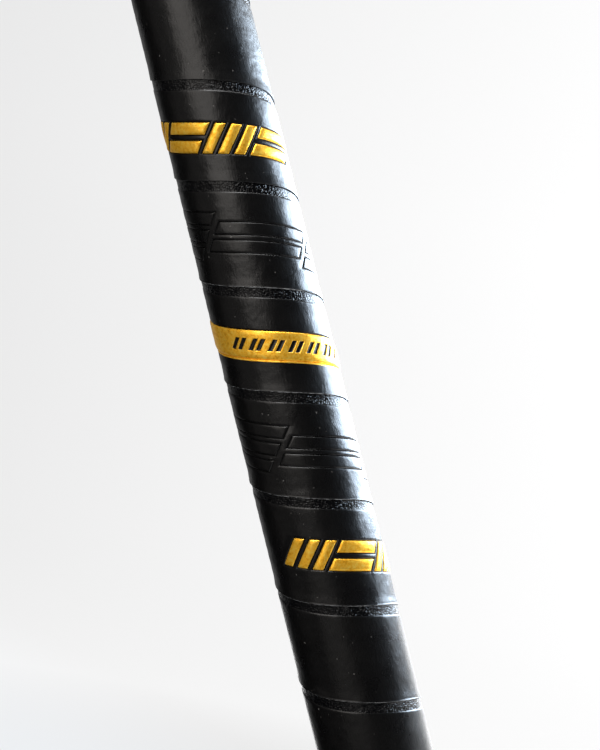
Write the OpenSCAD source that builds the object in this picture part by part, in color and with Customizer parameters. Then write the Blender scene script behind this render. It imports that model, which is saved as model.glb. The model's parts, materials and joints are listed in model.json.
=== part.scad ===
// Floorball stick: a round composite shaft, a wrapped grip with its end cap, and a moulded blade.
// The stick stands as it is played: the blade's sole lies flat on z = 0 with the toe towards +X,
// the shaft leans back towards -X by its lie angle, and the hollow forehand face looks towards -Y.

/* [Shaft] */
// Length of the bare composite tube
shaft_len = 960; // [760:10:1040]
// Outside diameter of the tube under the grip
butt_od = 26; // [25:0.5:27]
// Outside diameter of the tube at the blade
heel_od = 24; // [23:0.5:25]
// Wall thickness of the tube
shaft_wall = 1.4; // [1.2:0.1:2]
// Distance from the butt at which the taper starts
taper_from = 400; // [360:10:440]
// Distance from the butt at which the taper ends
taper_to = 600; // [520:10:660]

/* [Grip] */
// Length of the wrapped grip, measured from the butt
grip_len = 290; // [220:5:340]
// Outside diameter over the wrapped tape
grip_od = 30; // [29.6:0.1:31]
// Thickness of the felt and adhesive backing under the tape
backing_t = 0.6; // [0.4:0.1:0.8]
// Length of the wrap that the closing tape covers
closing_lap = 16; // [10:1:24]
// Length of the closing tape that grips the bare shaft
closing_tail = 12; // [8:1:20]

/* [End cap] */
// Height of the cap above the butt
cap_h = 4; // [3:0.5:8]
// Radius of the cap's rounded rim
cap_round = 1.6; // [1:0.2:2]
// Depth of the cap's plug inside the tube
plug_len = 24; // [14:1:40]

/* [Blade] */
// Angle between the shaft and the floor
lie = 62; // [58:1:66]
// Radius of the hook towards the forehand side
hook_r = 430; // [360:10:600]
// Thickness of the sole rail
sole_t = 10; // [9:0.5:12]
// Thickness of the outer rail
rail_t = 7; // [6:0.5:9]
// Thickness of the lattice ribs
rib_t = 5; // [4:0.2:6]
// Width of the lattice ribs, seen from the side
rib_w = 3.6; // [3:0.2:5]

/* [Collar] */
// Outside diameter of the collar that holds the shaft
collar_od = 31; // [30:0.5:33]
// Length of the collar
collar_len = 64; // [54:2:74]
// Solid bottom of the collar, below the end of the shaft
collar_floor = 7; // [6:1:12]

/* [Screws] */
// Diameter of the screw shank
screw_d = 3.5; // [3:0.1:4]
// Diameter of the screw head
screw_head_d = 6.8; // [6:0.2:7]
// Length of the screw under its head
screw_len = 9; // [8:0.5:10]

/* [Hidden] */
$fn = 96;

// Shaft stations are distances along the shaft's axis from the point where it would meet the floor.
heel_x = -82;
collar_bottom = 66;
collar_top = collar_bottom + collar_len;
shaft_bottom = collar_bottom + collar_floor;
butt = shaft_bottom + shaft_len;
grip_bottom = butt - grip_len;
closing_top = grip_bottom + closing_lap;

butt_r = butt_od / 2;
heel_r = heel_od / 2;
grip_r = grip_od / 2;
closing_t = 0.4;
closing_r = grip_r - 0.3;
closing_slope = 1.6;
wrap_in_r = butt_r + backing_t;
cap_r = grip_r - 0.2;
plug_r = butt_r - shaft_wall;
plug_wall = 2;

// The pin inside the collar fills the end of the tube, with hot-melt adhesive around it.
glue_t = 0.3;
shaft_gap = 0.1;
pin_r = heel_r - shaft_wall - glue_t;
pin_bore_r = 7.8;
pin_top = collar_top - 8;
collar_r = collar_od / 2;
collar_lip = 1.2;
// Below its floor the collar narrows into the web of the heel.
heel_taper = 34;
heel_tip_r = 4;

// The two screws stand one above the other on the backhand side, in counterbores.
screw_spots = [collar_bottom + 28, collar_bottom + 48];
screw_head_h = 1.9;
screw_sink = 2.3;
screw_gap = 0.1;
screw_tip = 2.4;
counterbore_r = screw_head_d / 2 + 0.2;
driver_slot = [3.6, 0.9, 1.1];
// How far a cut runs past the face that it opens, and how far two joined shapes share.
cut = 1;
join = 0.01;

// Outline corners are [x, z, fillet radius] in the plane of the blade.
along = [-cos(lie), sin(lie)];
across = [sin(lie), cos(lie)];
function on_shaft(t, side) = [heel_x, 0] + t * along + side * collar_r * across;
function with_r(p, r) = [p.x, p.y, r];
// Station at which the collar's front or back line passes height z.
function station_at(z, side) = (z - side * collar_r * across.y) / along.y;

top_z = 70;
web_top = collar_bottom + 34;
blade_corners = [
    with_r(on_shaft(station_at(0, -1), -1), 38),
    [84, 0, 80],
    [134, 20, 40],
    [144, 88, 28],
    [20, 75, 300],
    with_r(on_shaft(station_at(top_z, 1), 1), 34),
    with_r(on_shaft(web_top, 1), 1),
    with_r(on_shaft(web_top, -1), 1)
];
sole_h = 12;
window_corners = [
    [-92, sole_h, 9],
    [82, sole_h, 60],
    [125, 28, 26],
    [134, 79, 18],
    [18, 67, 250],
    [-84, 60, 9]
];
sole_top = [[-118, 0], [96, 0], [128, 18], [122, 26], [84, sole_h], [-118, sole_h]];

// The lattice: a middle rail, slanted ribs above it and a zigzag below it.
mid_left = [-118, 31];
mid_right = [140, 50];
mid_w = 5;
rib_pitch = 23;
rib_first = -74;
rib_count = 9;
rib_lean = 13;
rib_root = sole_h - rib_w;
function mid_at(x) =
    [x, mid_left.y + (x - mid_left.x) * (mid_right.y - mid_left.y) / (mid_right.x - mid_left.x)];

// The hook starts here; the blade is straight between this point and the heel.
hook_x = -12;
blade_h = 110;
blade_span = 320;

function unit(v) = v / norm(v);
function arc(centre, r, from, sweep, steps) =
    [for (i = [0 : steps]) centre + r * [cos(from + sweep * i / steps), sin(from + sweep * i / steps)]];
// Points of the fillet that rounds corner c between its neighbours a and b.
function fillet(a, c, b, r, steps) =
    let (
        u = unit(a - c),
        v = unit(b - c),
        half = acos(u * v) / 2,
        centre = c + unit(u + v) * r / sin(half),
        p = c + u * r / tan(half) - centre,
        q = c + v * r / tan(half) - centre,
        from = atan2(p.y, p.x),
        sweep = (atan2(q.y, q.x) - from + 540) % 360 - 180
    )
    arc(centre, r, from, sweep, steps);
function flat2(p) = [p.x, p.y];
// Wider fillets are drawn with more steps, so that the toe's outline stays smooth.
function fillet_steps(r) = min(14, 4 + floor(r / 3));
function rounded(corners) =
    let (n = len(corners))
    [for (i = [0 : n - 1])
        each fillet(flat2(corners[(i + n - 1) % n]), flat2(corners[i]), flat2(corners[(i + 1) % n]),
                    corners[i][2], fillet_steps(corners[i][2]))];

// Places its children in the shaft's frame: +Z along the shaft, +X on the toe side.
module on_shaft_axis() {
    translate([heel_x, 0, 0]) rotate([0, lie - 90, 0]) children();
}

module ring(r_out, r_in, bottom, top) {
    translate([0, 0, bottom])
        difference() {
            cylinder(h = top - bottom, r = r_out);
            translate([0, 0, -cut]) cylinder(h = top - bottom + 2 * cut, r = r_in);
        }
}

// A screw hole through whatever it is cut from, from the axis out to the backhand side.
module screw_hole(station) {
    translate([0, 0, station])
        rotate([-90, 0, 0]) cylinder(h = collar_r + cut, r = screw_d / 2 + screw_gap, $fn = 32);
}

module shaft_tube() {
    color("#1b1b1d")
        on_shaft_axis()
            difference() {
                rotate_extrude()
                    polygon([
                        [heel_r - shaft_wall, shaft_bottom],
                        [heel_r, shaft_bottom],
                        [heel_r, butt - taper_to],
                        [butt_r, butt - taper_from],
                        [butt_r, butt],
                        [butt_r - shaft_wall, butt],
                        [butt_r - shaft_wall, butt - taper_from],
                        [heel_r - shaft_wall, butt - taper_to]
                    ]);
                for (station = screw_spots) screw_hole(station);
            }
}

module end_cap() {
    color("#17171a")
        on_shaft_axis() {
            translate([0, 0, butt])
                rotate_extrude()
                    union() {
                        square([cap_r - cap_round, cap_h]);
                        square([cap_r, cap_h - cap_round]);
                        translate([cap_r - cap_round, cap_h - cap_round]) circle(r = cap_round, $fn = 48);
                    }
            ring(plug_r, plug_r - plug_wall, butt - plug_len, butt);
        }
}

module grip_wrap() {
    color("#202022")
        on_shaft_axis() {
            ring(grip_r, wrap_in_r, closing_top, butt);
            ring(closing_r - closing_t, wrap_in_r, grip_bottom, closing_top);
        }
}

module grip_backing() {
    color("#3a3a3c")
        on_shaft_axis() ring(wrap_in_r, butt_r, grip_bottom, butt);
}

module grip_closing_tape() {
    tail_bottom = grip_bottom - closing_tail;
    color("#101012")
        on_shaft_axis()
            rotate_extrude()
                polygon([
                    [butt_r, tail_bottom],
                    [butt_r + closing_t, tail_bottom],
                    [butt_r + closing_t, grip_bottom - closing_slope],
                    [closing_r, grip_bottom],
                    [closing_r, closing_top],
                    [closing_r - closing_t, closing_top],
                    [closing_r - closing_t, grip_bottom],
                    [butt_r, grip_bottom]
                ]);
}

// A slab that follows the hook in plan: straight towards the heel, bent towards -Y at the toe.
module hooked_slab(thickness) {
    linear_extrude(height = blade_h) {
        translate([hook_x - blade_span / 2, -thickness / 2]) square([blade_span / 2 + join, thickness]);
        intersection() {
            translate([hook_x, -hook_r])
                difference() {
                    circle(r = hook_r + thickness / 2, $fn = 256);
                    circle(r = hook_r - thickness / 2, $fn = 256);
                }
            translate([hook_x, -hook_r / 2]) square([blade_span, hook_r]);
        }
    }
}

// A flat outline in the plane of the blade, given that thickness along the hook.
module blade_layer(thickness) {
    intersection() {
        translate([0, blade_span / 2, 0]) rotate([90, 0, 0]) linear_extrude(height = blade_span) children();
        hooked_slab(thickness);
    }
}

module bar(a, b, w) {
    translate(a) rotate(atan2(b.y - a.y, b.x - a.x)) translate([0, -w / 2]) square([norm(b - a), w]);
}

module lattice() {
    intersection() {
        polygon(rounded(window_corners));
        union() {
            bar(mid_left, mid_right, mid_w);
            for (i = [0 : rib_count - 1]) {
                x = rib_first + i * rib_pitch;
                bar(mid_at(x), [x - rib_lean, blade_h], rib_w);
                for (side = [-1, 1]) bar(mid_at(x), [x + side * rib_pitch / 2, rib_root], rib_w);
            }
        }
    }
}

module collar() {
    on_shaft_axis() {
        translate([0, 0, collar_bottom]) cylinder(h = collar_len - collar_lip, r = collar_r);
        translate([0, 0, collar_top - collar_lip])
            cylinder(h = collar_lip, r1 = collar_r, r2 = collar_r - collar_lip);
        translate([0, 0, collar_bottom - heel_taper])
            cylinder(h = heel_taper + join, r1 = heel_tip_r, r2 = collar_r);
    }
}

module shaft_socket() {
    on_shaft_axis() {
        ring(heel_r + shaft_gap, pin_r, shaft_bottom, collar_top + cut);
        translate([0, 0, pin_top]) cylinder(h = collar_top - pin_top + cut, r = pin_r + glue_t);
        translate([0, 0, shaft_bottom]) cylinder(h = collar_len, r = pin_bore_r);
        for (station = screw_spots) {
            screw_hole(station);
            translate([0, collar_r - screw_sink, station])
                rotate([-90, 0, 0]) cylinder(h = screw_sink + cut, r = counterbore_r, $fn = 48);
        }
    }
}

module blade() {
    color("#1d1d20")
        difference() {
            union() {
                blade_layer(rail_t)
                    difference() {
                        polygon(rounded(blade_corners));
                        polygon(rounded(window_corners));
                    }
                blade_layer(sole_t)
                    intersection() {
                        polygon(rounded(blade_corners));
                        polygon(sole_top);
                    }
                blade_layer(rib_t) lattice();
                collar();
            }
            shaft_socket();
        }
}

module screw() {
    difference() {
        union() {
            cylinder(h = screw_head_h, d = screw_head_d, $fn = 48);
            translate([0, 0, -screw_len]) {
                translate([0, 0, screw_tip]) cylinder(h = screw_len - screw_tip, d = screw_d, $fn = 32);
                cylinder(h = screw_tip, r1 = 0, r2 = screw_d / 2, $fn = 32);
            }
        }
        for (turn = [0, 90])
            rotate([0, 0, turn])
                translate([0, 0, screw_head_h - driver_slot.z / 2 + join])
                    cube(driver_slot, center = true);
    }
}

module blade_screws() {
    color("silver")
        on_shaft_axis()
            for (station = screw_spots)
                translate([0, collar_r - screw_sink, station]) rotate([-90, 0, 0]) screw();
}

module hotmelt_sleeve() {
    color("#d8cf9a")
        on_shaft_axis()
            difference() {
                ring(pin_r + glue_t, pin_r, shaft_bottom, pin_top);
                for (station = screw_spots) screw_hole(station);
            }
}

shaft_tube();
end_cap();
grip_wrap();
grip_backing();
grip_closing_tape();
blade();
blade_screws();
hotmelt_sleeve();
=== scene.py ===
import json
import math

import bmesh
import bpy
import numpy as np
from mathutils import Matrix, Vector


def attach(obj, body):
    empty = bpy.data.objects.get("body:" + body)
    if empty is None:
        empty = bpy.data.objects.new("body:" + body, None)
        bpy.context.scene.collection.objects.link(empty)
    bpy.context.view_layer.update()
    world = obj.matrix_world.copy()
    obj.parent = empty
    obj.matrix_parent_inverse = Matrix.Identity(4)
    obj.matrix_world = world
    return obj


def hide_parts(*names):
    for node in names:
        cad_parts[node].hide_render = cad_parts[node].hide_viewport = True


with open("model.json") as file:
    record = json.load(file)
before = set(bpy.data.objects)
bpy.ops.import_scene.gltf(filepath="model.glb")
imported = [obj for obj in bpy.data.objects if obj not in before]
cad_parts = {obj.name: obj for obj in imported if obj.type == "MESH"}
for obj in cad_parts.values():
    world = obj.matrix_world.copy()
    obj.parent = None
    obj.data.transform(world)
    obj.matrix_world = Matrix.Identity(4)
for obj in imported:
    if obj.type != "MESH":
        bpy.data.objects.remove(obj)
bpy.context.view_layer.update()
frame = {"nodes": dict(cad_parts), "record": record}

MM = 0.001

# ---------------------------------------------------------------- the shaft's own frame
# Everything on the shaft is placed in its frame, in millimetres: +Z along the shaft towards the butt, +X on
# the toe's side, and -Y on the forehand side, which the camera looks at. Its origin is the wrap's middle.
mounts = {m["name"]: m for m in frame["record"]["mounts"]}
shaft_up = Vector(mounts["grip"]["axis"]).normalized()
shaft_mid = Vector(mounts["grip"]["pos_m"])
shaft_side = Vector((0, 1, 0)).cross(shaft_up)
SHAFT = Matrix.Translation(shaft_mid) @ Matrix((shaft_side, (0, 1, 0), shaft_up)).transposed().to_4x4()

GRIP_R = mounts["grip"]["dims"]["r_mm"]
WRAP_TOP = mounts["grip"]["dims"]["length_mm"] / 2
# How far the tape runs on under the closing tape.
CLOSING_LAP = 16.0
WRAP_BOTTOM = -WRAP_TOP - CLOSING_LAP
BACKING_R = 13.6


def new_piece(name, points, faces, material, sharp_deg=40):
    """A smooth mesh piece from points in metres."""
    mesh = bpy.data.meshes.new(name)
    mesh.from_pydata([tuple(p) for p in points], [], [tuple(f) for f in faces])
    mesh.update()
    mesh.shade_smooth()
    mesh.set_sharp_from_angle(angle=math.radians(sharp_deg))
    piece = bpy.data.objects.new(name, mesh)
    bpy.context.scene.collection.objects.link(piece)
    mesh.materials.append(material)
    return piece


# Carbon tows in the shaft's weave, and the gold rings on its lacquer.
TOW_MM = 2.0
TOWS_AROUND = 40
RINGS = ((-190.0, -187.5), (-184.5, -182.0), (-742.0, -739.5), (-736.5, -734.0))
# Height on the shaft and driver angle of each screw.
SCREWS = ((-802.0, 22.0), (-782.0, 64.0))
# The laps' edges have a full bead and a painted highlight on the cut edge below the first of these heights,
# and a low bead and almost no painted highlight above the second.
EDGE_BEAD_AND_HIGHLIGHT_HEIGHTS = (20.0, 40.0)

# ---------------------------------------------------------------- camera
# Its place and turns in the shaft's frame, in millimetres and degrees.
CAMERA_BACK = 344.9
CAMERA_SIDE = 0.5
CAMERA_YAW = 0.66
CAMERA_TILT = -1.41
CAMERA_ROLL = 13.84
LENS_MM = 62.8
SENSOR_MM = 36.0


def add_camera():
    yaw = Matrix.Rotation(math.radians(-CAMERA_YAW), 4, "Z")
    tilt = Matrix.Rotation(math.radians(CAMERA_TILT), 4, "X")
    level = Matrix.Rotation(math.pi / 2, 4, "X")
    roll = Matrix.Rotation(math.radians(-CAMERA_ROLL), 4, "Z")
    look = yaw @ tilt @ level @ roll
    place = Matrix.Translation(Vector((CAMERA_SIDE, -CAMERA_BACK, 0)) * MM)
    data = bpy.data.cameras.new("camera")
    data.lens = LENS_MM
    data.sensor_width = SENSOR_MM
    data.clip_start = 0.01
    data.clip_end = 60.0
    camera = bpy.data.objects.new("camera", data)
    camera.matrix_world = SHAFT @ place @ look
    bpy.context.scene.collection.objects.link(camera)
    bpy.context.scene.camera = camera


# ---------------------------------------------------------------- materials
class Nodes:
    """A material's node tree, built with short calls."""

    def __init__(self, name):
        self.material = bpy.data.materials.new(name)
        self.material.use_nodes = True
        self.tree = self.material.node_tree
        self.shader = self.tree.nodes["Principled BSDF"]
        self.coords = self.add("ShaderNodeTexCoord")

    def add(self, kind, inputs=None, **settings):
        node = self.tree.nodes.new(kind)
        for key, value in settings.items():
            setattr(node, key, value)
        for key, value in (inputs or {}).items():
            if isinstance(value, bpy.types.NodeSocket):
                self.tree.links.new(value, node.inputs[key])
            else:
                node.inputs[key].default_value = value
        return node

    def set(self, **inputs):
        for key, value in inputs.items():
            socket = self.shader.inputs[key.replace("_", " ")]
            if isinstance(value, bpy.types.NodeSocket):
                self.tree.links.new(value, socket)
            else:
                socket.default_value = value

    def noise(self, cell_mm, detail=2.0, rough=0.5, vector=None):
        vector = vector or self.coords.outputs["Object"]
        scale = 1.0 if cell_mm is None else 1 / (cell_mm * MM)
        made = self.add("ShaderNodeTexNoise", {"Vector": vector, "Scale": scale})
        made.inputs["Detail"].default_value = detail
        made.inputs["Roughness"].default_value = rough
        return made.outputs["Fac"]

    def stretched(self, output, x_mm, y_mm, z_mm):
        """Coordinates scaled so that a noise of scale one has cells of these sizes."""
        scale = (1 / (x_mm * MM), 1 / (y_mm * MM), 1 / (z_mm * MM))
        node = self.add("ShaderNodeMapping", {"Vector": self.coords.outputs[output], "Scale": scale})
        return node.outputs["Vector"]

    def ramp(self, fac, *stops):
        """A colour ramp through (place, grey or colour) stops."""
        node = self.add("ShaderNodeValToRGB", {"Fac": fac})
        elements = node.color_ramp.elements
        while len(elements) < len(stops):
            elements.new(0.5)
        for element, (place, value) in zip(elements, stops):
            element.position = place
            colour = (value, value, value) if isinstance(value, (int, float)) else value
            element.color = (*colour, 1.0)
        return node.outputs["Color"]

    def math(self, operation, a, b=0.0):
        return self.add("ShaderNodeMath", {0: a, 1: b}, operation=operation).outputs[0]

    def mix(self, fac, a, b):
        node = self.add("ShaderNodeMix", {"Factor": fac}, data_type="RGBA")
        for socket, value in ((node.inputs[6], a), (node.inputs[7], b)):
            if isinstance(value, bpy.types.NodeSocket):
                self.tree.links.new(value, socket)
            else:
                socket.default_value = (*value, 1.0)
        return node.outputs[2]

    def bump(self, height, depth_mm, normal=None):
        node = self.add("ShaderNodeBump", {"Height": height, "Strength": 1.0, "Distance": depth_mm * MM})
        if normal is not None:
            self.tree.links.new(normal, node.inputs["Normal"])
        return node.outputs["Normal"]


def grip_field():
    """Smooth coated grip tape: satin black with fine creases and a few specks of dust."""
    n = Nodes("grip_coat")
    creases = n.noise(None, 3.0, 0.6, n.stretched("Object", 0.5, 0.5, 1.5))
    streaks = n.noise(None, 1.0, 0.5, n.stretched("UV", 2.6 / MM, 0.3 / MM, 1.0))
    waves = n.noise(3.2, 1.0)
    fine = n.noise(0.2, 1.0)
    blotch = n.noise(7.0, 3.0)
    dust = n.ramp(n.noise(0.7, 0.0), (0.845, 0.0), (0.87, 1.0))
    colour = n.mix(blotch, (0.0016, 0.0016, 0.0018), (0.0028, 0.0026, 0.0026))
    n.set(Base_Color=n.mix(dust, colour, (0.08, 0.075, 0.07)))
    n.set(Roughness=n.ramp(blotch, (0.3, 0.26), (0.7, 0.32)))
    marks = n.math("ADD", creases, n.math("MULTIPLY", streaks, 0.2))
    uneven = n.math("ADD", marks, n.math("MULTIPLY", waves, 2.5))
    n.set(Normal=n.bump(fine, 0.006, normal=n.bump(uneven, 0.05)))
    return n.material


def grip_border():
    """The tape's thin glossy border, pebbled like leather."""
    n = Nodes("grip_border")
    pebbles = n.noise(0.42, 0.0)
    n.set(Base_Color=(0.0015, 0.0015, 0.0018, 1.0), Roughness=0.17, Specular_IOR_Level=0.32)
    n.set(Normal=n.bump(n.ramp(pebbles, (0.38, 0.0), (0.62, 1.0)), 0.075))
    return n.material


def raw_edge():
    """The tape's cut edge, with a painted highlight in broken pale dashes, strong on the lower laps and faint
    on the upper ones.
    """
    n = Nodes("raw_edge")
    dashes = n.noise(1.1, 2.0, 0.6)
    height = n.add("ShaderNodeSeparateXYZ", {"Vector": n.coords.outputs["Object"]}).outputs["Z"]
    span = 100
    place = n.math("MULTIPLY", height, 1 / (span * MM))
    # How strong the painted highlight along the cut edge is: full on the lower laps, almost none on the upper
    # ones.
    scuffs_and_edge_highlight = n.ramp(place, (EDGE_BEAD_AND_HIGHLIGHT_HEIGHTS[0] / span, 1.0), (EDGE_BEAD_AND_HIGHLIGHT_HEIGHTS[1] / span, 0.04))
    # The pale dashes are the painted highlight itself.
    painted_highlight = n.ramp(dashes, (0.38, 0.015), (0.62, 0.24))
    n.set(Base_Color=n.mix(scuffs_and_edge_highlight, (0.002, 0.002, 0.002), painted_highlight), Roughness=0.6)
    n.set(Normal=n.bump(dashes, 0.03))
    return n.material


def gold_print():
    """Gold foil printed on the tape, mottled and a little worn."""
    n = Nodes("gold_print")
    mottle = n.noise(0.95, 5.0, 0.7)
    speckle = n.noise(0.3, 1.0)
    colour = n.ramp(mottle, (0.32, (0.70, 0.29, 0.008)), (0.48, (1.0, 0.51, 0.03)), (0.66, (1.0, 0.66, 0.10)))
    n.set(Base_Color=colour, Metallic=0.72, Roughness=n.ramp(mottle, (0.3, 0.40), (0.7, 0.30)))
    n.set(Normal=n.bump(speckle, 0.022, normal=n.bump(mottle, 0.05)))
    return n.material


def cap_rubber():
    n = Nodes("cap_rubber")
    grain = n.noise(0.35, 2.0)
    smear = n.noise(4.0, 3.0)
    n.set(Base_Color=n.mix(smear, (0.006, 0.006, 0.0065), (0.011, 0.011, 0.0115)))
    n.set(Roughness=n.ramp(smear, (0.35, 0.48), (0.65, 0.6)), Normal=n.bump(grain, 0.02))
    return n.material


def closing_tape():
    """Stretched vinyl tape: glossy, with fine lengthwise pull marks."""
    n = Nodes("closing_tape")
    pull = n.noise(None, 2.0, 0.5, n.stretched("Object", 1.6, 1.6, 0.35))
    smear = n.noise(5.0, 2.0)
    n.set(Base_Color=n.mix(smear, (0.006, 0.006, 0.007), (0.010, 0.010, 0.011)))
    n.set(Roughness=n.ramp(smear, (0.3, 0.24), (0.7, 0.36)), Normal=n.bump(pull, 0.03))
    return n.material


def backing_felt():
    n = Nodes("backing_felt")
    fibres = n.noise(0.25, 4.0, 0.7)
    n.set(Base_Color=n.ramp(fibres, (0.3, 0.03), (0.7, 0.07)), Roughness=0.95, Normal=n.bump(fibres, 0.12))
    return n.material


def blade_plastic():
    """Moulded blade plastic: satin, with a fine spark-eroded texture and scuffs towards the floor."""
    n = Nodes("blade_plastic")
    grain = n.noise(0.45, 3.0, 0.6)
    flow = n.noise(26.0, 2.0)
    scuff = n.ramp(n.noise(None, 3.0, 0.6, n.stretched("Object", 9.0, 1.5, 0.7)), (0.62, 0.0), (0.75, 1.0))
    low = n.add("ShaderNodeSeparateXYZ", {"Vector": n.coords.outputs["Object"]}).outputs["Z"]
    near_floor = n.ramp(n.math("MULTIPLY", low, 1 / (12 * MM)), (0.0, 1.0), (1.0, 0.0))
    scuffs_and_edge_highlight = n.math("MULTIPLY", scuff, near_floor)
    colour = n.mix(flow, (0.011, 0.011, 0.012), (0.016, 0.016, 0.017))
    n.set(Base_Color=n.mix(scuffs_and_edge_highlight, colour, (0.05, 0.05, 0.052)))
    n.set(Roughness=n.ramp(flow, (0.3, 0.38), (0.7, 0.46)), Normal=n.bump(grain, 0.035))
    return n.material


def screw_steel():
    n = Nodes("screw_steel")
    spangle = n.noise(0.9, 2.0)
    brush = n.noise(None, 2.0, 0.5, n.stretched("Object", 0.1, 0.1, 0.5))
    n.set(Base_Color=n.mix(spangle, (0.46, 0.46, 0.47), (0.60, 0.59, 0.57)), Metallic=1.0)
    n.set(Roughness=n.ramp(brush, (0.3, 0.30), (0.7, 0.38)), Normal=n.bump(brush, 0.002))
    return n.material


def hotmelt():
    n = Nodes("hotmelt")
    cloud = n.noise(1.5, 3.0)
    n.set(Base_Color=n.mix(cloud, (0.62, 0.50, 0.24), (0.74, 0.64, 0.38)), Roughness=0.35)
    n.set(Normal=n.bump(cloud, 0.1))
    return n.material


def shaft_composite():
    """Lacquered carbon twill, with two pairs of thin gold rings."""
    n = Nodes("shaft_composite")
    local = n.add("ShaderNodeSeparateXYZ", {"Vector": n.coords.outputs["Object"]})
    angle = n.math("ARCTAN2", local.outputs["Y"], local.outputs["X"])
    tow = TOW_MM * MM
    around = n.math("MULTIPLY", angle, TOWS_AROUND / (2 * math.pi))
    along = n.math("MULTIPLY", local.outputs["Z"], 1 / tow)
    slope = n.math("FRACT", n.math("MULTIPLY", n.math("ADD", around, n.math("FLOOR", along)), 0.25))
    over = n.math("LESS_THAN", slope, 0.5)
    crown = n.math("MULTIPLY", n.math("SINE", n.math("MULTIPLY", along, math.pi)), 0.5)
    grain = n.noise(0.5, 2.0)
    dark, light = (0.010, 0.010, 0.011), (0.024, 0.024, 0.026)
    weave = n.mix(n.math("MULTIPLY", over, 0.7), dark, light)
    colour = n.mix(n.math("MULTIPLY", grain, 0.25), weave, (0.008, 0.008, 0.009))
    rings = 0.0
    for low, high in RINGS:
        within = n.math("MULTIPLY", n.math("GREATER_THAN", local.outputs["Z"], low * MM),
                        n.math("LESS_THAN", local.outputs["Z"], high * MM))
        rings = n.math("ADD", within, rings)
    n.set(Base_Color=n.mix(rings, colour, (0.86, 0.50, 0.05)), Metallic=n.math("MULTIPLY", rings, 0.8))
    n.set(Roughness=n.ramp(grain, (0.3, 0.30), (0.7, 0.38)), Coat_Weight=1.0, Coat_Roughness=0.07)
    n.set(Normal=n.bump(n.math("ADD", crown, over), 0.012))
    return n.material


# ---------------------------------------------------------------- the wound grip tape
# Where each lap's lower edge crosses the front, from the top of the view down. The tape is wound by hand, so
# the laps aren't quite even. Turn 0 is the first of these, and turns grow downwards.
FRONT_EDGES = (69.2, 43.0, 15.6, -11.6, -39.3, -67.4, -92.8)
PITCH = 27.0
SPARE_TURNS = 5
EDGE_KNOTS = np.array(
    [FRONT_EDGES[0] + PITCH * n for n in range(SPARE_TURNS, 0, -1)]
    + list(FRONT_EDGES)
    + [FRONT_EDGES[-1] - PITCH * n for n in range(1, SPARE_TURNS + 1)]
)
TURN_MM = 2 * math.pi * GRIP_R

# The tape's section: a lip that lies over the lap below, the smooth field, and a thin border that the lap
# above covers in part. Heights ending in _R are over GRIP_R.
BORDER = 2.7
HIDDEN = 2.7
LIP_UNDER = 3.2
LIP_UNDER_R = -0.12
BORDER_R = -0.15
LIP_BEAD = 0.10
# Rows of faces on the lip's cut edge and on the border, the border's first row in the section's upper part,
# and rows of points on the inner face.
LIP_EDGE_ROWS = 3
BORDER_START = 5
BORDER_ROWS = 5
INNER_ROWS = 10
# How far the closing tape presses the foot of the wrap in.
SQUEEZE = 0.8
# How far the shapes' ends lean along the tape for each millimetre across it.
SLANT = 0.65
SLANT_COS = math.cos(math.atan(SLANT))

# Embossed shapes: half heights and steps across and along the tape, and the height of each kind's edge at
# those distances inwards.
BAR_HALF = 1.6
BAR_STEP = 4.75
CLUSTER = 24.5
CLUSTER_STEP = 26.65
BAND_HALF = 3.75
BAND_RIM = 0.62
EDGE_STEPS = (-0.34, -0.24, -0.10, 0.04, 0.16, 0.50, 1.10)
BAR_EDGE = (0.0, -0.06, -0.26, -0.10, 0.0, 0.03, 0.04)
GOLD_EDGE = (0.0, -0.06, -0.28, -0.06, 0.08, 0.20, 0.27)
TICK_EDGE = (0.0, 0.0, 0.0, -0.12, -0.26, -0.28, -0.28)
# Where each decoration starts, as its turn and the distance on from that turn's front.
EMBLEMS = ((1, -53.1), (5, -10.3))
BAND_START = (3, -42.0)
BAND_LENGTH = 77.0
BAR_LAPS = ((2, -62.8), (4, -56.9))
BARS_IN_CLUSTERS = (2, 3, 2, 3)


def edge_height(turn):
    """Height of the tape's lower edge at that turn, on a smooth curve through the knots."""
    turn = np.asarray(turn, float) + SPARE_TURNS
    first = np.floor(turn).astype(int)
    s = turn - first
    a, b, c, d = (EDGE_KNOTS[np.clip(first + k, 0, len(EDGE_KNOTS) - 1)] for k in (-1, 0, 1, 2))
    rise, fall = (c - a) / 2, (d - b) / 2
    ease = s * s * (3 - 2 * s)
    return b + (c - b) * ease + s * (1 - s) * ((1 - s) * rise - s * fall)


def field_width(turn):
    """Width of the smooth field between the lip and the border."""
    return edge_height(np.asarray(turn) - 1) - edge_height(turn) - BORDER


def bars(start, rows):
    """A cluster of stacked bars, as (kind, from, to, lowest, highest)."""
    middles = [(k - (rows - 1) / 2) * BAR_STEP for k in range(rows)]
    return [("bar", start, start + CLUSTER, m - BAR_HALF, m + BAR_HALF) for m in middles]


def emblem(start):
    """Gold ornament: groups of three slanted stripes, with a pair of long bars after each."""
    stripe, gap, long_bar = 2.7, 1.3, 11.5
    half = (BAR_STEP + 2 * BAR_HALF) / 2
    shapes = []
    for _ in range(3):
        for _ in range(3):
            shapes.append(("gold", start, start + stripe, -half, half))
            start += stripe + gap
        for side in (-1, 1):
            low = side * BAR_STEP / 2 - BAR_HALF
            shapes.append(("gold", start, start + long_bar, low, low + 2 * BAR_HALF))
        start += long_bar + gap
    return shapes


def band(start, length):
    """A gold band with pairs of sunken ticks along its middle."""
    first_tick, tick, pair, ticks = 31.1, 1.25, 1.9, 7
    step = 4.85
    shapes = [("gold", start, start + length, -BAND_HALF, BAND_HALF)]
    for k in range(ticks):
        for q in (start + first_tick + k * step, start + first_tick + k * step + pair):
            shapes.append(("tick", q, q + tick, -BAR_HALF, BAR_HALF))
    return shapes


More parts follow.
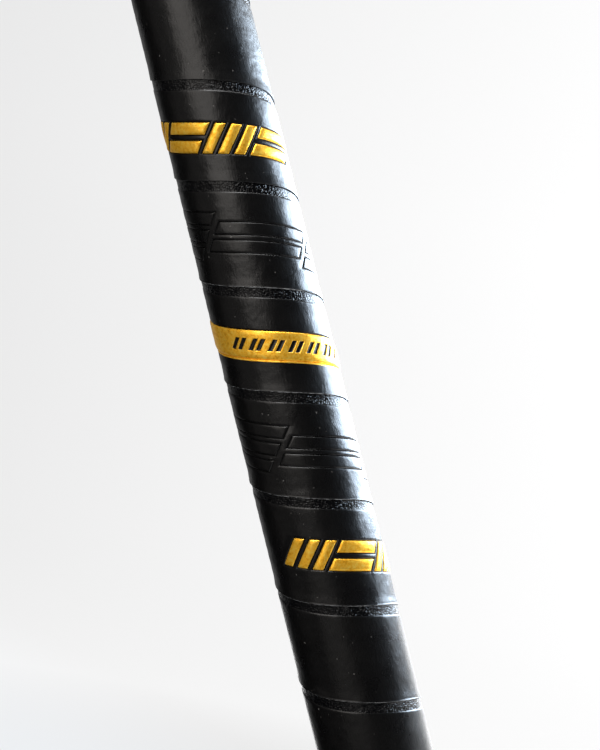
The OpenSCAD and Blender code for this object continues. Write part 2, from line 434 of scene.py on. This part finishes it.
def decoration():
    """Every embossed or printed shape, placed along the tape from turn 0's front."""
    shapes = []
    for turn, on in EMBLEMS:
        shapes += emblem(TURN_MM * turn + on)
    turn, on = BAND_START
    shapes += band(TURN_MM * turn + on, BAND_LENGTH)
    for turn, on in BAR_LAPS:
        for k, count in enumerate(BARS_IN_CLUSTERS):
            shapes += bars(TURN_MM * turn + on + k * CLUSTER_STEP, count)
    return shapes


# The print wanders a little across the tape from one turn to the next.
PRINT_DRIFT = ((0, 1, 2, 3, 4, 5, 6), (0.0, -0.6, 0.6, -0.1, -0.2, 0.6, 0.0))
WANDER_VALUES = 4096


def wander(q, step, seed):
    """A smooth random value between 0 and 1 that changes about every step of millimetres."""
    values = np.random.default_rng(seed).random(WANDER_VALUES)
    place = np.asarray(q) / step + WANDER_VALUES // 2
    first = np.floor(place).astype(int)
    s = place - first
    return values[first] + (values[first + 1] - values[first]) * s * s * (3 - 2 * s)


def tape_rows(shapes):
    """The section's points, as (anchor, offset, height over GRIP_R), once round from the lip's under edge.

    The anchor is 0 at the lower edge, 0.5 in the field's middle and 1 at its upper edge."""
    lip_points = ((0, LIP_UNDER_R), (0, 0.03), (0.05, 0.12), (0.13, 0.155), (0.22, 0.155), (0.34, 0.145),
                  (0.6, 0.14), (1.1, 0.11), (1.7, 0.06), (2.3, 0.02), (3.0, 0.0))
    places = set(np.arange(-8.4, 8.5, 1.2).round(3)) | {round(-BAND_HALF - BAND_RIM, 3)}
    for _, _, _, low, high in shapes:
        places |= {round(low + s, 3) for s in EDGE_STEPS} | {round(high - s, 3) for s in EDGE_STEPS}
    kept = []
    for v in sorted(places):
        if not kept or v - kept[-1] > 0.07:
            kept.append(v)
    top_points = ((-1.4, 0), (-0.5, 0), (-0.24, -0.01), (-0.1, -0.04), (0, -0.09), (0.07, -0.13),
                  (0.2, BORDER_R), (1.2, BORDER_R), (BORDER, BORDER_R), (BORDER + HIDDEN, BORDER_R))
    lip = [(0, o, h) for o, h in lip_points]
    middle = [(0.5, v, 0.0) for v in kept]
    top = [(1, o, h) for o, h in top_points]
    # The columns are slanted, so the inner face needs several rows to stay round about the shaft.
    reach = BORDER + HIDDEN - LIP_UNDER
    inner = [(a, LIP_UNDER + a * reach, BACKING_R - GRIP_R) for a in np.linspace(1, 0, INNER_ROWS)]
    return lip, middle, top, inner + [(0, LIP_UNDER, LIP_UNDER_R)]


def tape_columns(first, last, shapes):
    """Places along the tape where the mesh has a column."""
    exact = set()
    for _, start, end, _, _ in shapes:
        exact |= {start + s / SLANT_COS for s in EDGE_STEPS} | {end - s / SLANT_COS for s in EDGE_STEPS}
    exact = np.array(sorted(q for q in exact if first < q < last))
    exact = exact[np.concatenate([[True], np.diff(exact) > 0.02])]
    base = np.linspace(first, last, int((last - first) / 2.2))
    near = np.abs(base[:, None] - exact[None, :]).min(axis=1)
    keep = near > 0.5
    keep[[0, -1]] = True
    return np.sort(np.concatenate([base[keep], exact]))


def inside(shape, q, v):
    """How far a place on the tape is inside a shape's outline, in millimetres."""
    _, start, end, low, high = shape
    return np.minimum(np.minimum(q - start, end - q) * SLANT_COS, np.minimum(v - low, high - v))


def relief(shapes, q, v):
    """Height of the embossing at those places along and across the tape."""
    profiles = {"bar": BAR_EDGE, "gold": GOLD_EDGE, "tick": TICK_EDGE}
    height = np.zeros(np.broadcast(q, v).shape)
    for shape in shapes:
        near = (q[:, 0] > shape[1] - 1) & (q[:, 0] < shape[2] + 1)
        if near.any():
            height[near] += np.interp(inside(shape, q[near], v), EDGE_STEPS, profiles[shape[0]])
    return height


def ends_of_tape():
    """Turns at which the tape's lower edge leaves the wrap's top and its upper edge reaches the bottom."""
    turns = np.linspace(-SPARE_TURNS + 1, len(FRONT_EDGES) + SPARE_TURNS - 2, 4000)
    low = edge_height(turns)
    high = low + field_width(turns) + BORDER + HIDDEN
    sliver = 0.4
    return turns[low < WRAP_TOP - sliver][0], turns[high > WRAP_BOTTOM + sliver][-1]


def settle_columns(q, width, across):
    """Turn, place across and height of each point, with the slant settled where the wrap's ends cut it."""
    w = across
    for _ in range(12):
        turn = (q + SLANT * (w - width / 2)) / TURN_MM
        low = edge_height(turn)
        w = np.clip(across, WRAP_BOTTOM - low, WRAP_TOP - low)
    return turn, w, np.clip(low + w, WRAP_BOTTOM, WRAP_TOP)


def lip_bead(q, anchor, offset, height):
    """Height of the uneven bead along the lip, lower on the newer laps."""
    section = np.interp(offset, (0.0, 0.05, 0.13, 0.22, 0.34), (0.0, 0.6, 1.0, 0.8, 0.0)) * (anchor == 0)
    uneven = 0.4 + 0.6 * wander(q, 1.3, 3)
    return LIP_BEAD * section * np.interp(height, EDGE_BEAD_AND_HIGHLIGHT_HEIGHTS, (1.0, 0.2)) * uneven


def pressed(r, rise, height):
    """The radii, less what the closing tape presses the foot of the wrap in, apart from the inner face."""
    squeezed = np.clip((-WRAP_TOP + 2.0 - height) / 4.0, 0, 1)
    return np.where(rise > BACKING_R - GRIP_R, r - SQUEEZE * squeezed * squeezed * (3 - 2 * squeezed), r)


def tape_faces(columns, rows):
    """Faces between neighbouring columns and rows, and one across each end of the tape."""
    c, k = np.meshgrid(np.arange(columns - 1), np.arange(rows), indexing="ij")
    up = (k + 1) % rows
    quads = np.stack([c * rows + k, (c + 1) * rows + k, (c + 1) * rows + up, c * rows + up], axis=-1)
    first_cap = np.arange(rows)
    last_cap = (np.arange(rows) + (columns - 1) * rows)[::-1]
    return [tuple(f) for f in quads.reshape(-1, 4)] + [tuple(first_cap), tuple(last_cap)]


def add_grip_wrap():
    shapes = decoration()
    lip, middle, top, under = tape_rows(shapes)
    section = lip + middle + top + under
    anchor, offset, rise = (np.array(x) for x in zip(*section))
    first, last = ends_of_tape()
    q = tape_columns(first * TURN_MM, last * TURN_MM, shapes)[:, None]
    width = field_width(q / TURN_MM)
    drift = np.interp(q / TURN_MM, *PRINT_DRIFT) * (anchor == 0.5)
    drift += 0.06 * (wander(q, 2.1, 4) - 0.5) * ((anchor == 0) & (offset < 1))
    turn, w, height = settle_columns(q, width, anchor * width + offset + drift)
    is_middle = np.zeros(len(section), bool)
    is_middle[len(lip):len(lip) + len(middle)] = True
    raised = np.zeros(w.shape)
    raised[:, is_middle] = relief(shapes, q, offset[is_middle][None, :])
    r = pressed(GRIP_R + rise + raised + lip_bead(q, anchor, offset, height), rise, height)
    angle = turn * 2 * math.pi
    points = np.stack([r * np.sin(angle), -r * np.cos(angle), height], axis=-1).reshape(-1, 3) * MM
    piece = new_piece("grip_tape", points, tape_faces(*w.shape), grip_field(), sharp_deg=55)
    piece.matrix_world = SHAFT
    lay_tape_uv(piece, q + 0 * w, w)
    for material in (grip_border(), gold_print(), raw_edge()):
        piece.data.materials.append(material)
    look = face_look(shapes, q[:, 0], offset, is_middle, len(section))
    piece.data.polygons.foreach_set("material_index", np.append(look.ravel(), [0, 0]).astype(np.int32))
    tidy_mesh(piece)
    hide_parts("grip_wrap")
    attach(piece, "root")


def face_look(shapes, q, offset, is_middle, rows):
    """Material of each face between columns and rows: 0 the field, 1 the border, 2 gold, 3 the cut edge."""
    look = np.zeros((len(q) - 1, rows), int)
    look[:, :LIP_EDGE_ROWS] = 3
    border = np.flatnonzero(is_middle)[-1] + 1 + BORDER_START
    look[:, border:border + BORDER_ROWS] = 1
    middle = np.flatnonzero(is_middle)[:-1]
    across = (offset[middle] + offset[middle + 1]) / 2
    along = ((q[:-1] + q[1:]) / 2)[:, None]
    gold = np.zeros((len(along), len(middle)), bool)
    for shape in shapes:
        kind, start, end, low, high = shape
        if kind == "gold" and low == -BAND_HALF:  # the foil runs on past the band's lower groove
            shape = (kind, start, end, low - BAND_RIM, high)
        within = inside(shape, along, across[None, :]) > 0
        gold = gold & ~within if kind == "tick" else gold | (within & (kind == "gold"))
    look[:, middle] = np.where(gold, 2, look[:, middle])
    return look


def lay_tape_uv(piece, along, across):
    """Texture coordinates in millimetres along and across the tape, for marks that run with it."""
    layer = piece.data.uv_layers.new(name="tape")
    corners = np.zeros(len(piece.data.loops), np.int32)
    piece.data.loops.foreach_get("vertex_index", corners)
    layer.data.foreach_set("uv", np.stack([along.ravel(), across.ravel()], axis=-1)[corners].ravel())


def tidy_mesh(piece):
    """Merges points that lie on each other and drops the faces that this closes."""
    mesh = bmesh.new()
    mesh.from_mesh(piece.data)
    bmesh.ops.remove_doubles(mesh, verts=mesh.verts, dist=2e-6)
    bmesh.ops.dissolve_degenerate(mesh, edges=mesh.edges, dist=1e-7)
    mesh.to_mesh(piece.data)
    mesh.free()


# ---------------------------------------------------------------- end cap, closing tape and blade
def lathe(name, profile, material, steps=160, sharp_deg=40):
    """A solid turned about the shaft's axis. Its profile of (radius, height) starts and ends on the axis."""
    turns = np.linspace(0, 2 * math.pi, steps, endpoint=False)
    inner = profile[1:-1]
    points = [(0, 0, profile[0][1])]
    points += [(r * math.sin(t), -r * math.cos(t), z) for r, z in inner for t in turns]
    points.append((0, 0, profile[-1][1]))
    last = len(points) - 1
    faces = [(0, 1 + i, 1 + (i + 1) % steps) for i in range(steps)]
    for k in range(len(inner) - 1):
        a, b = 1 + k * steps, 1 + (k + 1) * steps
        faces += [(a + i, b + i, b + (i + 1) % steps, a + (i + 1) % steps) for i in range(steps)]
    a = 1 + (len(inner) - 1) * steps
    faces += [(a + i, last, a + (i + 1) % steps) for i in range(steps)]
    piece = new_piece(name, np.array(points) * MM, faces, material, sharp_deg)
    piece.matrix_world = SHAFT
    outward(piece)
    return piece


def outward(piece):
    mesh = bmesh.new()
    mesh.from_mesh(piece.data)
    bmesh.ops.recalc_face_normals(mesh, faces=mesh.faces)
    mesh.to_mesh(piece.data)
    mesh.free()


def ring_faces(rings, around):
    """Faces between rings of points, with the last ring joined to the first."""
    faces = []
    for k in range(rings):
        a, b = k * around, ((k + 1) % rings) * around
        faces += [(a + i, a + (i + 1) % around, b + (i + 1) % around, b + i) for i in range(around)]
    return faces


def round_corner(r, z, radius, start_deg, end_deg):
    """Points of an arc about a centre, for a lathe profile."""
    angles = np.radians(np.linspace(start_deg, end_deg, 8))
    return [(r + radius * math.cos(a), z + radius * math.sin(a)) for a in angles]


def add_end_cap():
    cap_r, cap_h, rim = 14.8, 4.0, 1.6
    plug_r, plug_in, plug_len = 11.6, 9.6, 24.0
    top = [(0, 3.0), (2.0, 3.0), (2.2, 3.12), (2.7, 3.12), (2.9, 3.0), (9.4, 3.0), (9.7, 2.75), (10.3, 2.75),
           (10.6, 3.0), (11.6, 3.1), (12.3, 3.6), (12.8, 3.92)]
    side = round_corner(cap_r - rim, cap_h - rim, rim, 80, 0)
    side += [(cap_r, 0.35), (cap_r - 0.1, 0.1), (cap_r - 0.4, 0)]
    plug = [(plug_r, 0)]
    for rib in range(3):
        z = -4.0 - 6.0 * rib
        plug += [(plug_r - 0.15, z + 0.8), (plug_r, z), (plug_r, z - 0.8), (plug_r - 0.15, z - 1.4)]
    plug += [(plug_r - 0.2, 0.8 - plug_len), (plug_r - 0.8, -plug_len), (plug_in, -plug_len), (plug_in, -0.3)]
    profile = [(r, z + WRAP_TOP) for r, z in top + side + plug + [(plug_in - 0.3, 0), (0, 0)]]
    piece = lathe("butt_cap", profile, cap_rubber())
    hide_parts("end_cap")
    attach(piece, "root")


def add_shaft():
    """The tapered tube, open at both ends, with its two screw holes."""
    wall, butt_r, heel_r = 1.4, 13.0, 12.0
    foot, taper_end, taper_start = -823.0, -463.0, -263.0
    heights = list(np.arange(foot, foot + 70, 3.5)) + [-740.0, -640.0, -550.0, taper_end, -400.0, -330.0]
    heights += [taper_start, -200.0, -120.0, -40.0, 50.0, WRAP_TOP]
    outer = [(np.interp(z, (taper_end, taper_start), (heel_r, butt_r)), z) for z in heights]
    rings = outer + [(r - wall, z) for r, z in reversed(outer)]
    around = 144
    turns = np.linspace(0, 2 * math.pi, around, endpoint=False)
    points = [(r * math.sin(t), -r * math.cos(t), z) for r, z in rings for t in turns]
    faces = ring_faces(len(rings), around)
    piece = new_piece("carbon_tube", np.array(points) * MM, faces, shaft_composite())
    for z, _ in SCREWS:
        drill(piece, Vector((0, 8.0, z)) * MM, 1.85 * MM, 12 * MM)
    piece.data.shade_smooth()
    piece.data.set_sharp_from_angle(angle=math.radians(40))
    piece.matrix_world = SHAFT
    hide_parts("shaft_tube")
    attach(piece, "root")


def drill(piece, start, radius, length):
    """Cuts a round hole along +Y in the piece's own frame."""
    shape = bmesh.new()
    middle = Matrix.Translation(start + Vector((0, length / 2, 0)))
    place = middle @ Matrix.Rotation(math.pi / 2, 4, "X")
    size = {"radius1": radius, "radius2": radius, "depth": length}
    bmesh.ops.create_cone(shape, cap_ends=True, segments=32, matrix=place, **size)
    cut_away(piece, shape)


def cut_away(piece, shape):
    """Cuts a shape, given in the piece's own frame, out of the piece."""
    mesh = bpy.data.meshes.new("cutter")
    shape.to_mesh(mesh)
    shape.free()
    cutter = bpy.data.objects.new("cutter", mesh)
    cutter.matrix_world = piece.matrix_world
    bpy.context.scene.collection.objects.link(cutter)
    cut = piece.modifiers.new("cut", "BOOLEAN")
    cut.object = cutter
    cut.operation = "DIFFERENCE"
    made = bpy.data.meshes.new_from_object(piece.evaluated_get(bpy.context.evaluated_depsgraph_get()))
    piece.modifiers.clear()
    piece.data = made
    bpy.data.objects.remove(cutter)


def screw_profile(head_h):
    """Half section of a screw with its head's underside at height 0."""
    head_r, corner = 3.4, 0.55
    shank_r, shank, tip, pitch, thread = 1.75, 9.0, 2.4, 1.2, 0.3
    profile = [(0, -shank), (shank_r - thread, tip - shank)]
    for k in range(5):
        z = tip - shank + pitch * k
        profile += [(shank_r, z + pitch / 2), (shank_r - thread, z + pitch)]
    profile += [(shank_r, 0), (head_r - 0.1, 0), (head_r, 0.1)]
    profile += round_corner(head_r - corner, head_h - corner, corner, 0, 82)
    return profile + [(2.2, head_h), (0, head_h)]


def add_screws():
    """Two pan-head screws with cross recesses, each left at its own angle by the driver."""
    seat, head_h, sharp_deg = 13.2, 1.9, 35
    slot = Vector((3.6, 1.1, 0.9))
    piece = lathe("pan_screws", screw_profile(head_h), screw_steel(), steps=64, sharp_deg=sharp_deg)
    single = piece.data.copy()
    pair = bmesh.new()
    for z, _ in SCREWS:
        copy = single.copy()
        copy.transform(Matrix.Translation(Vector((0, seat, z)) * MM) @ Matrix.Rotation(-math.pi / 2, 4, "X"))
        pair.from_mesh(copy)
    pair.to_mesh(piece.data)
    pair.free()
    for z, angle in SCREWS:
        for turn in (angle, angle + 90):
            middle = Vector((0, seat + head_h - slot.y / 2 + 0.01, z)) * MM
            place = Matrix.Translation(middle) @ Matrix.Rotation(math.radians(turn), 4, "Y")
            shape = bmesh.new()
            bmesh.ops.create_cube(shape, size=1.0, matrix=place @ Matrix.Diagonal((*(slot * MM), 1.0)))
            cut_away(piece, shape)
    piece.data.shade_smooth()
    piece.data.set_sharp_from_angle(angle=math.radians(sharp_deg))
    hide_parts("blade_screws")
    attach(piece, "root")


def closing_tape_radii(turns, z, bottom):
    """Inner and outer radius of the closing tape at those angles and heights."""
    tail_r, over_r, thick = 13.05, 14.36, 0.28
    step = np.clip((z - (WRAP_BOTTOM - 2.2)) / 2.4, 0, 1)
    step = step * step * (3 - 2 * step)
    under = tail_r + (over_r - tail_r) * step
    crease = 0.10 * np.exp(-((z - WRAP_BOTTOM + 1.0) / 2.2) ** 2)
    crease = crease * (np.sin(17 * turns + 1.3 * np.sin(3 * turns)) + 0.6 * np.sin(29 * turns + 2.0))
    laps = np.zeros(np.broadcast(turns, z).shape)
    for start in (-1.0, 8.0, 17.0):  # the tape's own spiral edge, one step up for each lap
        edge = bottom + start + 9.0 * turns / (2 * math.pi)
        laps += 0.13 * np.clip((z - edge) / 0.25, 0, 1) * np.clip((edge + 19.0 - z) / 0.25, 0, 1)
    return under + 0 * turns, under + thick + crease + laps


def add_closing_tape():
    """Thin tape wound over the foot of the wrap and onto the bare shaft, creased where it steps down."""
    top, bottom = -WRAP_TOP, WRAP_BOTTOM - 12.0
    around, rows = 220, 90
    turns = np.linspace(0, 2 * math.pi, around, endpoint=False)[None, :]
    z = np.linspace(bottom, top, rows)[:, None]
    inner, outer = closing_tape_radii(turns, z, bottom)
    points = []
    for r, height in ((outer, z + 0 * turns), (inner[::-1], z[::-1] + 0 * turns)):
        points.append(np.stack([r * np.sin(turns), -r * np.cos(turns), height], axis=-1).reshape(-1, 3))
    points = np.concatenate(points) * MM
    piece = new_piece("closing_sleeve", points, ring_faces(2 * rows, around), closing_tape(), sharp_deg=70)
    piece.matrix_world = SHAFT
    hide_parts("grip_closing_tape")
    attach(piece, "root")


def add_blade():
    """The moulded blade, with its edges rounded as they come out of the mould."""
    source = bpy.data.objects.new("blade_source", frame["nodes"]["blade"].data.copy())
    bpy.context.scene.collection.objects.link(source)
    remesh = source.modifiers.new("even", "REMESH")
    remesh.mode = "VOXEL"
    remesh.voxel_size = 0.6 * MM
    soft = source.modifiers.new("round", "SMOOTH")
    soft.factor = 0.5
    soft.iterations = 11
    shape = bpy.data.meshes.new_from_object(source.evaluated_get(bpy.context.evaluated_depsgraph_get()))
    bpy.data.objects.remove(source)
    shape.name = "moulded_blade"
    shape.materials.clear()
    shape.materials.append(blade_plastic())
    shape.shade_smooth()
    piece = bpy.data.objects.new("moulded_blade", shape)
    bpy.context.scene.collection.objects.link(piece)
    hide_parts("blade")
    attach(piece, "root")


def finish_cad_nodes():
    """Materials for the CAD nodes that stay."""
    kept = {"grip_backing": backing_felt(), "hotmelt_sleeve": hotmelt()}
    for name, material in kept.items():
        node = frame["nodes"][name]
        node.material_slots[0].material = material


# ---------------------------------------------------------------- stage and lights
def studio_paper():
    """Glowing white paper, dimmer near the object, where it takes shadows, and towards the view's left."""
    n = Nodes("studio_paper")
    place = n.add("ShaderNodeSeparateXYZ", {"Vector": n.coords.outputs["Object"]})
    away = n.add("ShaderNodeVectorMath", {0: n.coords.outputs["Object"]}, operation="LENGTH")
    level = n.ramp(n.math("MULTIPLY", away.outputs["Value"], 0.25), (0.25, 0.26), (0.65, 0.79))
    glow = n.math("ADD", n.math("MULTIPLY", place.outputs["X"], 0.07), level)
    n.set(Base_Color=(0.22, 0.22, 0.22, 1.0), Roughness=0.9)
    n.set(Emission_Color=(1.0, 1.0, 1.0, 1.0), Emission_Strength=glow)
    return n.material


def add_stage():
    floor_r, bend, wall = 4.0, 1.5, 5.0
    rise = np.linspace(0.1, math.pi / 2, 12)
    profile = [(0.02, 0.0), (1.0, 0.0), (floor_r, 0.0)]
    profile += [(floor_r + bend * math.sin(a), bend - bend * math.cos(a)) for a in rise]
    profile.append((floor_r + bend, wall))
    sides = 96
    turns = np.linspace(0, 2 * math.pi, sides, endpoint=False)
    points = [(r * math.cos(t), r * math.sin(t), z) for r, z in profile for t in turns]
    faces = []
    for k in range(len(profile) - 1):
        a, b = k * sides, (k + 1) * sides
        faces += [(a + i, a + (i + 1) % sides, b + (i + 1) % sides, b + i) for i in range(sides)]
    faces.append(tuple(range(sides))[::-1])
    stage = new_piece("studio", points, faces, studio_paper())
    stage.visible_glossy = False


def add_world():
    world = bpy.data.worlds.new("studio_air")
    bpy.context.scene.world = world
    world.use_nodes = True
    background = world.node_tree.nodes["Background"]
    background.inputs["Color"].default_value = (0.96, 0.97, 1.0, 1.0)
    background.inputs["Strength"].default_value = 0.15
    world.cycles_visibility.glossy = False


def add_softbox(name, around, tilt, back, size, radiance, colour):
    """A soft area light that faces the wrap's middle, from angles around and along the shaft in degrees."""
    a, e = math.radians(around), math.radians(tilt)
    away = Vector((math.cos(e) * math.sin(a), -math.cos(e) * math.cos(a), math.sin(e))) * back
    place = SHAFT @ away
    along = SHAFT.to_3x3() @ Vector((0, 0, 1))
    front = (place - shaft_mid).normalized()
    side = along.cross(front).normalized()
    data = bpy.data.lights.new(name, "AREA")
    data.shape = "RECTANGLE"
    data.size, data.size_y = size
    data.energy = radiance * math.pi * size[0] * size[1]
    data.color = colour
    light = bpy.data.objects.new(name, data)
    turn = Matrix((side, front.cross(side), front)).transposed().to_4x4()
    light.matrix_world = Matrix.Translation(place) @ turn
    light.visible_camera = False
    bpy.context.scene.collection.objects.link(light)


def add_lights():
    cool, warm, white = (0.68, 0.83, 1.0), (1.0, 0.95, 0.90), (1.0, 1.0, 1.0)
    add_softbox("front_left", -24, 30, 1.3, (1.0, 1.2), 1.85, warm)
    add_softbox("front_low", -24, -8, 1.3, (1.0, 0.8), 0.25, warm)
    add_softbox("left_fill", -72, 12, 1.3, (0.9, 1.2), 0.14, warm)
    add_softbox("right_back", 132, 2, 1.3, (2.1, 0.55), 24.0, cool)
    add_softbox("right_fill", 128, 0, 1.5, (2.2, 1.8), 0.9, white)
    add_softbox("back", 185, 0, 1.2, (1.8, 1.5), 0.28, white)
    add_softbox("back_low", 165, -32, 0.9, (1.2, 0.5), 2.0, white)
    add_softbox("overhead", 62, 67, 1.4, (2.4, 0.45), 9.5, white)
    add_softbox("below_right", 105, -50, 0.6, (0.5, 0.3), 3.0, white)
    add_softbox("below_left", -20, -60, 0.6, (0.6, 0.35), 0.5, white)


bpy.context.scene.view_settings.view_transform = "Standard"
add_camera()
add_grip_wrap()
add_end_cap()
add_shaft()
add_screws()
add_closing_tape()
add_blade()
finish_cad_nodes()
add_stage()
add_world()
add_lights()
